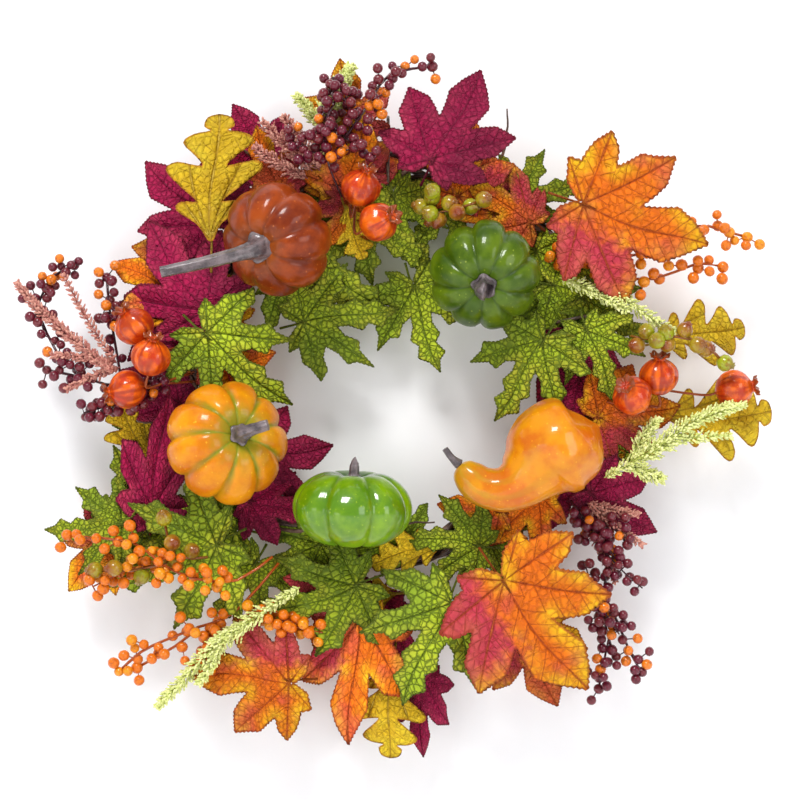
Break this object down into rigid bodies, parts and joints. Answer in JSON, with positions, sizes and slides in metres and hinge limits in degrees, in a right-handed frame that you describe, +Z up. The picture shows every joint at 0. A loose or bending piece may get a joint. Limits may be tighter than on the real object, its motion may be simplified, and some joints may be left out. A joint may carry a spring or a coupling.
{
  "type": "harvest door wreath",
  "caption": "Harvest door wreath: twisted grapevine ring with foam pumpkins, a crookneck gourd, berry sprays, seed pods and autumn leaves, hung by a wire loop.",
  "frame": {"origin": "the point inside the top of the hanging loop where the door hook bears", "axes": "+Z up, +X to the right of someone facing the wreath, +Y towards the door; the face looks along -Y"},
  "size_m": [0.5968, 0.1345, 0.547],
  "materials": {
    "grapevine": "dry bark, matt",
    "wire": "brown lacquered wire, satin",
    "rust_skin": "painted foam, soft gloss, mottled",
    "dark_green_skin": "painted foam, soft gloss, mottled",
    "gold_skin": "painted foam with green stripes, soft gloss",
    "lime_skin": "painted foam, glossy, darker at the ends",
    "gourd_skin": "painted foam, orange with green-yellow cloud, soft gloss",
    "dry_stalk": "moulded dry stalk, grey brown",
    "seed_pod": "red over orange streaks, glossy",
    "burgundy_leaf": "printed and embossed polyester, matt",
    "orange_leaf": "printed and embossed polyester, orange to yellow, matt",
    "green_leaf": "printed and embossed polyester, dark veins, matt",
    "yellow_leaf": "printed polyester, fine dark veins, matt",
    "burgundy_berry": "lacquered burgundy and orange beads",
    "orange_berry": "soft orange beads",
    "rose_berry": "green hips with red-brown caps, glossy",
    "pale_seed": "flocked pale green seed head",
    "pink_seed": "flocked dusty pink seed head"
  },
  "bodies": {
    "ring": {"burgundy_leaf_bottom": "burgundy_leaf", "burgundy_leaf_left": "burgundy_leaf", "burgundy_leaf_lower_right": "burgundy_leaf", "burgundy_leaf_upper_left": "burgundy_leaf", "burgundy_spray_left": "burgundy_berry", "burgundy_spray_right": "burgundy_berry", "crookneck_gourd": "gourd_skin", "crookneck_gourd_stem": "dry_stalk", "gold_pumpkin": "gold_skin", "gold_pumpkin_stem": "dry_stalk", "green_leaf_bottom": "green_leaf", "green_leaf_bottom_left": "green_leaf", "green_leaf_far_left": "green_leaf", "green_leaf_inner_right": "green_leaf", "green_leaf_inner_top": "green_leaf", "green_leaf_left": "green_leaf", "green_leaf_lower_left": "green_leaf", "green_leaf_lower_right": "green_leaf", "green_leaf_outer_right": "green_leaf", "green_leaf_right": "green_leaf", "green_pumpkin": "dark_green_skin", "green_pumpkin_stem": "dry_stalk", "lime_pumpkin": "lime_skin", "lime_pumpkin_stem": "dry_stalk", "orange_leaf_far_left": "orange_leaf", "orange_leaf_lower_left": "orange_leaf", "orange_spray_bottom_left": "orange_berry", "orange_spray_upper_right": "orange_berry", "pale_seed_spray_top": "pale_seed", "pink_leaf_left": "burgundy_leaf", "pod_pick_left": "seed_pod", "pod_pick_right": "seed_pod", "pod_pick_top": "seed_pod", "rose_berry_spray_left": "rose_berry", "rose_berry_spray_top": "rose_berry", "rust_leaf_bottom": "orange_leaf", "rust_leaf_right": "orange_leaf", "rust_leaf_top": "orange_leaf", "rust_pumpkin": "rust_skin", "rust_pumpkin_stem": "dry_stalk", "tie_wire_left": "wire", "tie_wire_right": "wire", "vine_1": "grapevine", "vine_2": "grapevine", "vine_3": "grapevine", "vine_4": "grapevine", "yellow_oak_leaf_bottom": "yellow_leaf", "yellow_oak_leaf_lower_right": "yellow_leaf", "yellow_oak_leaf_right": "yellow_leaf", "yellow_oak_leaf_top": "yellow_leaf"},
    "hanging_loop_body": {"hanging_loop": "wire"},
    "orange_leaf_right_body": {"orange_leaf_right": "orange_leaf"},
    "orange_leaf_lower_right_body": {"orange_leaf_lower_right": "orange_leaf"},
    "burgundy_leaf_top_body": {"burgundy_leaf_top": "burgundy_leaf"},
    "burgundy_spray_top_body": {"burgundy_spray_top": "burgundy_berry"},
    "rose_berry_spray_right_body": {"rose_berry_spray_right": "rose_berry"},
    "pale_seed_spray_right_body": {"pale_seed_spray_right": "pale_seed"},
    "pale_seed_spray_bottom_body": {"pale_seed_spray_bottom": "pale_seed"},
    "orange_spray_left_body": {"orange_spray_left": "orange_berry"},
    "pink_seed_spray_body": {"pink_seed_spray": "pink_seed"}
  },
  "joints": [
    {"name": "hanging_loop_swing", "type": "hinge", "parent": "ring", "child": "hanging_loop_body", "pos_m": [0, 0, -0.04], "axis": [1, 0, 0], "range_deg": [-75, 0]},
    {"name": "orange_leaf_right_bend", "type": "hinge", "parent": "ring", "child": "orange_leaf_right_body", "pos_m": [0.12417, -0.06063, -0.06623], "axis": [-0.3256, 0, -0.9455], "range_deg": [0, 20]},
    {"name": "orange_leaf_lower_right_bend", "type": "hinge", "parent": "ring", "child": "orange_leaf_lower_right_body", "pos_m": [0.07009, -0.06972, -0.33957], "axis": [-0.809, 0, -0.5878], "range_deg": [0, 20]},
    {"name": "burgundy_leaf_top_bend", "type": "hinge", "parent": "ring", "child": "burgundy_leaf_top_body", "pos_m": [0.02533, -0.04896, -0.05835], "axis": [0.8829, 0, -0.4695], "range_deg": [0, 20]},
    {"name": "burgundy_spray_top_bend", "type": "hinge", "parent": "ring", "child": "burgundy_spray_top_body", "pos_m": [-0.03583, -0.04336, -0.06704], "axis": [0.9848, 0, 0.1736], "range_deg": [0, 5]},
    {"name": "rose_spray_right_bend", "type": "hinge", "parent": "ring", "child": "rose_berry_spray_right_body", "pos_m": [0.18728, -0.05458, -0.17561], "axis": [-0.0698, 0, -0.9976], "range_deg": [0, 20]},
    {"name": "seed_spray_right_bend", "type": "hinge", "parent": "ring", "child": "pale_seed_spray_right_body", "pos_m": [0.16793, -0.04397, -0.28508], "axis": [0.342, 0, -0.9397], "range_deg": [0, 20]},
    {"name": "seed_spray_bottom_bend", "type": "hinge", "parent": "ring", "child": "pale_seed_spray_bottom_body", "pos_m": [-0.06881, -0.03537, -0.37125], "axis": [-0.6947, 0, 0.7193], "range_deg": [0, 20]},
    {"name": "orange_spray_left_bend", "type": "hinge", "parent": "ring", "child": "orange_spray_left_body", "pos_m": [-0.089, -0.04984, -0.34615], "axis": [-0.1392, 0, 0.9903], "range_deg": [0, 15]},
    {"name": "pink_spray_bend", "type": "hinge", "parent": "ring", "child": "pink_seed_spray_body", "pos_m": [-0.21371, -0.03769, -0.2032], "axis": [0.6157, 0, 0.788], "range_deg": [0, 20]}
  ]
}
